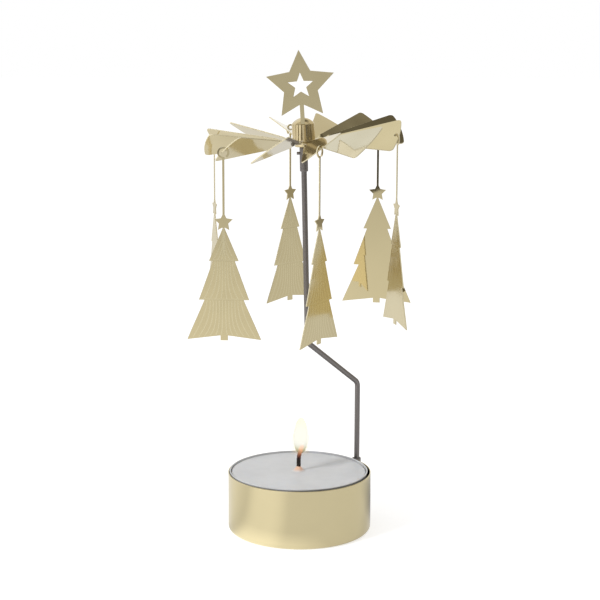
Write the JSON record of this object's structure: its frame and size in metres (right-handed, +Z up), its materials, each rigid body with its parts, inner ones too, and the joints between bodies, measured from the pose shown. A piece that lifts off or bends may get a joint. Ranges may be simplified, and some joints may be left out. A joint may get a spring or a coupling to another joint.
{
  "type": "angel chime carousel",
  "caption": "Rotary tealight holder: brass cup, bent rod with a needle, pitched-blade rotor turned by the candle's warm air, star on top and flat trees hanging from the blades.",
  "frame": {"origin": "middle of the cup's flat underside, on the cup's axis", "axes": "+Z up along the cup's axis; -Y is the front seen in the picture and +X its right"},
  "size_m": [0.0603, 0.0677, 0.1308],
  "materials": {
    "brass_sheet": "satin champagne brass plate",
    "polished_brass": "polished",
    "dark_steel": "dark drawn wire, satin",
    "bright_steel": "ground",
    "tealight_aluminium": "bright rolled foil",
    "candle_wax": "white paraffin wax",
    "candle_wick": "charred cotton",
    "tin_plate": "tin plate"
  },
  "bodies": {
    "base": {"base_cup": "brass_sheet", "rod_socket": "dark_steel"},
    "tealight": {"tealight_cup": "tealight_aluminium", "wax": "candle_wax", "wick": "candle_wick", "wick_sustainer": "tin_plate"},
    "rod": {"support_rod": "dark_steel", "needle_sleeve": "dark_steel", "needle": "bright_steel"},
    "rotor": {"rotor": "brass_sheet", "hub_cap": "polished_brass", "hub_collar": "polished_brass", "pivot_seat": "polished_brass", "top_star": "brass_sheet"},
    "tree_1": {"tree_1": "brass_sheet"},
    "tree_2": {"tree_2": "brass_sheet"},
    "tree_3": {"tree_3": "brass_sheet"},
    "tree_4": {"tree_4": "brass_sheet"},
    "tree_5": {"tree_5": "brass_sheet"},
    "tree_6": {"tree_6": "brass_sheet"}
  },
  "joints": [
    {"name": "tealight_lift", "type": "slide", "parent": "base", "child": "tealight", "axis": [0, 0, 1], "range_m": [0, 0.017]},
    {"name": "rod_lift", "type": "slide", "parent": "base", "child": "rod", "axis": [0, 0, 1], "range_m": [0, 0.012]},
    {"name": "rotor_spin", "type": "hinge", "parent": "rod", "child": "rotor", "pos_m": [0.0007, -0.0002, 0.1103], "axis": [0, 0, 1], "continuous": true},
    {"name": "tree_1_swing", "type": "hinge", "parent": "rotor", "child": "tree_1", "pos_m": [0.0251, -0.00979, 0.10814], "axis": [-0.9659, -0.2588, 0], "range_deg": [-15, 15]},
    {"name": "tree_2_swing", "type": "hinge", "parent": "rotor", "child": "tree_2", "pos_m": [0.02144, 0.01613, 0.10925], "axis": [-0.1564, -0.9877, 0], "range_deg": [-15, 15]},
    {"name": "tree_3_swing", "type": "hinge", "parent": "rotor", "child": "tree_3", "pos_m": [-0.00289, 0.02588, 0.10816], "axis": [0.7373, -0.6756, 0], "range_deg": [-15, 15]},
    {"name": "tree_4_swing", "type": "hinge", "parent": "rotor", "child": "tree_4", "pos_m": [-0.02344, 0.0097, 0.10601], "axis": [0.9613, 0.2756, 0], "range_deg": [-15, 15]},
    {"name": "tree_5_swing", "type": "hinge", "parent": "rotor", "child": "tree_5", "pos_m": [-0.0197, -0.0164, 0.105], "axis": [0.0576, 0.9983, 0], "range_deg": [-15, 15]},
    {"name": "tree_6_swing", "type": "hinge", "parent": "rotor", "child": "tree_6", "pos_m": [0.0048, -0.02612, 0.10611], "axis": [-0.866, 0.5, 0], "range_deg": [-15, 15]}
  ]
}
